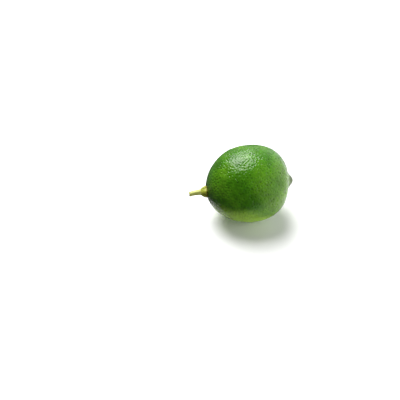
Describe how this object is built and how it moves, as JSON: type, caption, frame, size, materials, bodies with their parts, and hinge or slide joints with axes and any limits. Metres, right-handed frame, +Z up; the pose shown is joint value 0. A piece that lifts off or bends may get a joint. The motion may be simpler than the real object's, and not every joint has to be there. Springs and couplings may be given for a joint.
{
  "type": "lime",
  "caption": "Whole lime with its calyx and a short cut stalk, lying on its side on a small flat spot.",
  "frame": {"origin": "middle of the small flat spot under the fruit, where it rests on a surface", "axes": "+X along the fruit from the stem end to the nipple of the blossom end, level; +Z up; -Y is the side seen from the front"},
  "size_m": [0.057, 0.0417, 0.0414],
  "materials": {
    "peel": "waxy citrus peel, semi-gloss, finely pitted",
    "husk": "matt green plant tissue, drying brown at the edges"
  },
  "bodies": {
    "root": {"lime_fruit": "peel", "calyx": "husk", "stem": "husk"}
  },
  "joints": []
}
